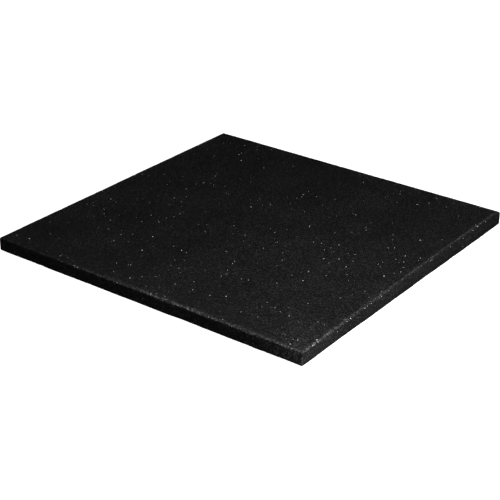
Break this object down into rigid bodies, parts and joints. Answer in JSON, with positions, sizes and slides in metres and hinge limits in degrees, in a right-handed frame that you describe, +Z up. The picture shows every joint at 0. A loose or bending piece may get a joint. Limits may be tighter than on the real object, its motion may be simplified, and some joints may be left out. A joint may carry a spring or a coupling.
{
  "type": "rubber gym floor tile",
  "caption": "Square slab of bonded black rubber crumb with eased edges, laid side by side as an impact-damping gym floor.",
  "frame": {"origin": "middle of the flat underside", "axes": "+Z up through the thickness, +X and +Y square to two neighbouring side faces"},
  "size_m": [0.5, 0.5, 0.02],
  "materials": {
    "crumb_rubber": "matte"
  },
  "bodies": {
    "root": {"tile": "crumb_rubber"}
  },
  "joints": []
}
